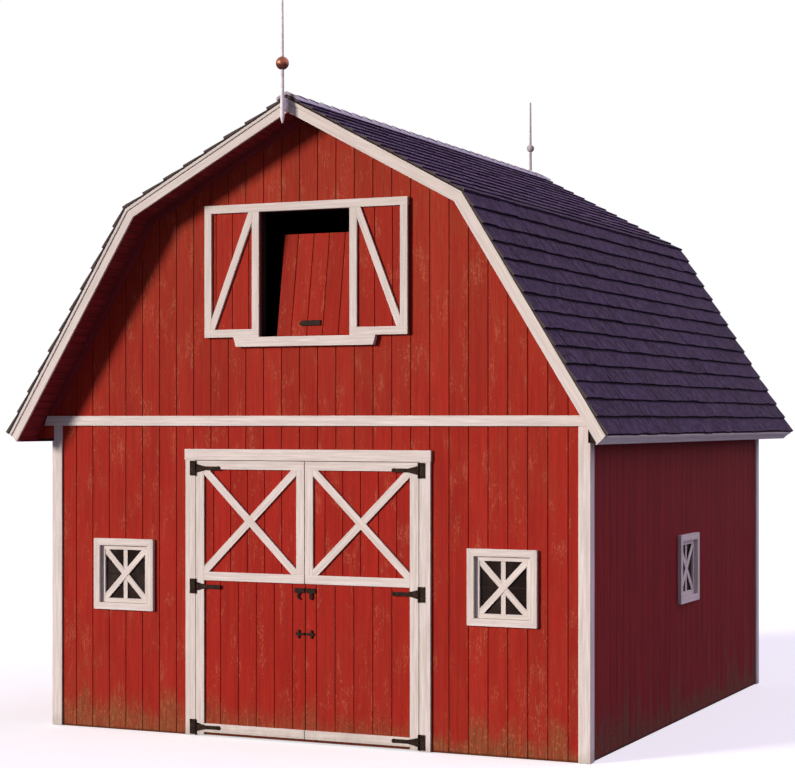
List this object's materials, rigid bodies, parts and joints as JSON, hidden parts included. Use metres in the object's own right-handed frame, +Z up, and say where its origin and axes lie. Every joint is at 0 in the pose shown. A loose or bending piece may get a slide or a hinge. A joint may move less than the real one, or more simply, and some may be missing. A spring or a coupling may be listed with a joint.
{
  "type": "gambrel barn",
  "caption": "Small red gambrel barn with board walls, shake roof, braced double doors, a hay door over them, crossed-bar windows and two roof spires.",
  "frame": {"origin": "on the ground under the middle of the whole barn's box", "axes": "+X to the barn's right seen from the front, +Y from the front doors to the back wall, +Z up; the double doors face -Y"},
  "size_m": [6.6272, 7.4497, 7.3347],
  "materials": {
    "red_boards": "weathered red paint on boards",
    "white_trim": "weathered white paint",
    "shakes": "weathered dark shakes",
    "iron": "rusted black iron",
    "spire_paint": "dull white paint",
    "copper": "dull copper",
    "window_glass": "dark old glass",
    "loft_planks": "bare planks"
  },
  "bodies": {
    "barn": {"back_band": "white_trim", "back_gable": "red_boards", "back_rake_left": "white_trim", "back_rake_right": "white_trim", "back_wall": "red_boards", "corner_boards": "white_trim", "door_header": "white_trim", "door_jambs": "white_trim", "eave_fascias": "white_trim", "eave_soffits": "red_boards", "front_band": "white_trim", "front_gable": "red_boards", "front_rake_left": "white_trim", "front_rake_right": "white_trim", "front_wall_left": "red_boards", "front_wall_over_door": "red_boards", "front_wall_right": "red_boards", "gable_soffits": "red_boards", "hay_door_frames": "white_trim", "hay_doors": "red_boards", "hay_handle": "iron", "hay_hatch": "red_boards", "hay_rail": "white_trim", "hay_sill": "white_trim", "hinge_plates": "iron", "left_wall": "red_boards", "loft_floor": "loft_planks", "ridge_cap": "shakes", "right_wall": "red_boards", "roof_lower_left": "shakes", "roof_lower_right": "shakes", "roof_upper_left": "shakes", "roof_upper_right": "shakes", "spire_balls": "copper", "spires": "spire_paint", "window_panes": "window_glass", "window_sashes": "white_trim", "window_trims": "white_trim"},
    "left_door": {"left_door_boards": "red_boards", "left_door_frame": "white_trim", "left_door_latch": "iron", "left_door_straps": "iron"},
    "right_door": {"right_door_boards": "red_boards", "right_door_frame": "white_trim", "right_door_latch": "iron", "right_door_straps": "iron"}
  },
  "joints": [
    {"name": "left_door_hinge", "type": "hinge", "parent": "barn", "child": "left_door", "pos_m": [-1.249, -3.195, 0], "axis": [0, 0, -1], "range_deg": [0, 165]},
    {"name": "right_door_hinge", "type": "hinge", "parent": "barn", "child": "right_door", "pos_m": [1.249, -3.195, 0], "axis": [0, 0, 1], "range_deg": [0, 165]}
  ]
}
